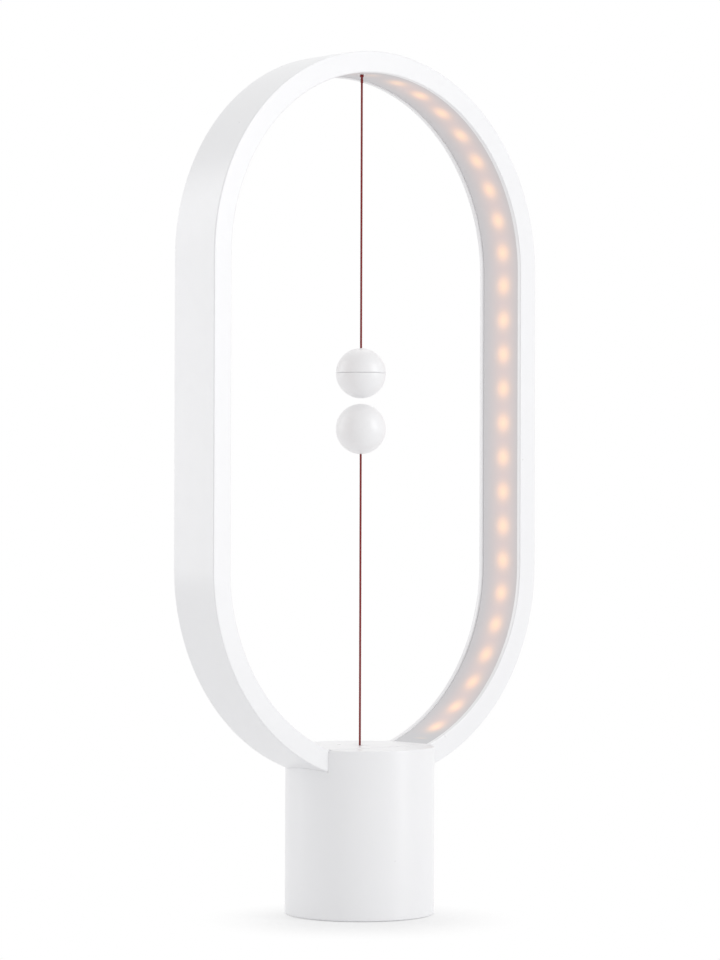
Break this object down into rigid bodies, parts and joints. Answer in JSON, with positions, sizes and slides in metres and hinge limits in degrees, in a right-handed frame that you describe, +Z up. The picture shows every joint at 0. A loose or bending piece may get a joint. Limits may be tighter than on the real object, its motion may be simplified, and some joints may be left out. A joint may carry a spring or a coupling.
{
  "type": "magnetic balance table lamp",
  "caption": "Table lamp with an oblong ring of light on a round base, switched by magnet balls that float apart on strings and pull a hidden switch.",
  "frame": {"origin": "middle of the base's underside, on the surface that the lamp stands on", "axes": "+Z up, +X to the right across the ring's plane, -Y to the front of the ring"},
  "size_m": [0.1984, 0.07, 0.4034],
  "materials": {
    "white_plastic": "satin moulded",
    "ball_plastic": "fine matt moulded",
    "diffuser": "frosted, lit from behind",
    "strip": "coated strip",
    "foot_rubber": "matt",
    "steel": "plated",
    "brass": "turned",
    "black_plastic": "moulded",
    "cream_plastic": "moulded",
    "board": "lacquered board",
    "red_insulation": "soft insulation",
    "string": "braided"
  },
  "bodies": {
    "lamp_stand": {"ring_housing": "white_plastic", "ring_diffuser": "diffuser", "light_strip": "strip", "top_eyelet": "white_plastic", "base_shell": "white_plastic", "foot_cover": "white_plastic", "base_eyelet": "white_plastic", "bottom_plate": "white_plastic", "foot_pad": "foot_rubber", "ballast": "steel", "bottom_screw_1": "steel", "bottom_screw_2": "steel", "bottom_screw_3": "steel", "bottom_screw_4": "steel", "ballast_screw": "steel", "ring_screw_left": "steel", "ring_screw_right": "steel", "guide_sleeve": "brass", "sleeve_nut": "brass", "return_spring": "steel", "switch_bracket": "steel", "bracket_screw_left": "steel", "bracket_screw_right": "steel", "microswitch_body": "black_plastic", "lever_pin": "steel", "switch_screw_1": "steel", "switch_screw_2": "steel", "terminal_common": "brass", "terminal_closing": "brass", "terminal_opening": "brass", "circuit_board": "board", "board_post_1": "cream_plastic", "board_post_2": "cream_plastic", "board_screw_1": "steel", "board_screw_2": "steel", "power_inlet": "steel", "inlet_tongue": "black_plastic", "light_lead": "red_insulation", "switch_lead_common": "red_insulation", "switch_lead_closing": "black_plastic"},
    "switch_plunger": {"plunger": "cream_plastic"},
    "switch_lever": {"switch_lever": "steel"},
    "switch_button": {"switch_button": "cream_plastic"},
    "lower_knot": {"lower_string_knot": "string"},
    "lower_string": {"lower_string": "string"},
    "lower_ball": {"lower_ball_top_shell": "ball_plastic", "lower_ball_bottom_shell": "ball_plastic", "lower_ball_magnet": "steel", "lower_ball_knot": "string"},
    "upper_knot": {"upper_string_knot": "string"},
    "upper_ball": {"upper_string": "string", "upper_ball_top_shell": "ball_plastic", "upper_ball_bottom_shell": "ball_plastic", "upper_ball_magnet": "steel", "upper_ball_knot": "string"}
  },
  "joints": [
    {"name": "switch_pull", "type": "slide", "parent": "lamp_stand", "child": "switch_plunger", "axis": [0, 0, 1], "range_m": [-0.0025, 0], "stiffness_N_per_m": 200, "springref_m": 0.003, "deforming": ["return_spring"]},
    {"name": "switch_lever_turn", "type": "hinge", "parent": "lamp_stand", "child": "switch_lever", "pos_m": [-0.008, 0, 0.04428], "axis": [0, 1, 0], "range_deg": [0, 16.5]},
    {"name": "switch_button_press", "type": "slide", "parent": "lamp_stand", "child": "switch_button", "axis": [0, 0, 1], "range_m": [-0.001, 0]},
    {"name": "lower_swing_side", "type": "hinge", "parent": "switch_plunger", "child": "lower_knot", "pos_m": [0, 0, 0.078], "axis": [0, 1, 0], "range_deg": [-15, 15], "stiffness_Nm_per_rad": 0.05},
    {"name": "lower_swing_front", "type": "hinge", "parent": "lower_knot", "child": "lower_string", "pos_m": [0, 0, 0.078], "axis": [1, 0, 0], "range_deg": [-15, 15], "stiffness_Nm_per_rad": 0.05},
    {"name": "lower_ball_fall", "type": "slide", "parent": "lower_string", "child": "lower_ball", "axis": [0, 0, 1], "range_m": [-0.133, 0], "stiffness_N_per_m": 5, "springref_m": 0.06, "deforming": ["lower_string"]},
    {"name": "upper_swing_side", "type": "hinge", "parent": "lamp_stand", "child": "upper_knot", "pos_m": [0, 0, 0.3934], "axis": [0, 1, 0], "range_deg": [-32, 32]},
    {"name": "upper_swing_front", "type": "hinge", "parent": "upper_knot", "child": "upper_ball", "pos_m": [0, 0, 0.3934], "axis": [1, 0, 0], "range_deg": [-80, 80]}
  ],
  "couplings": [
    {"joint": "switch_lever_turn", "follows": "switch_pull", "rad_per_m": -113.8},
    {"joint": "switch_button_press", "follows": "switch_pull", "ratio": 0.4}
  ]
}
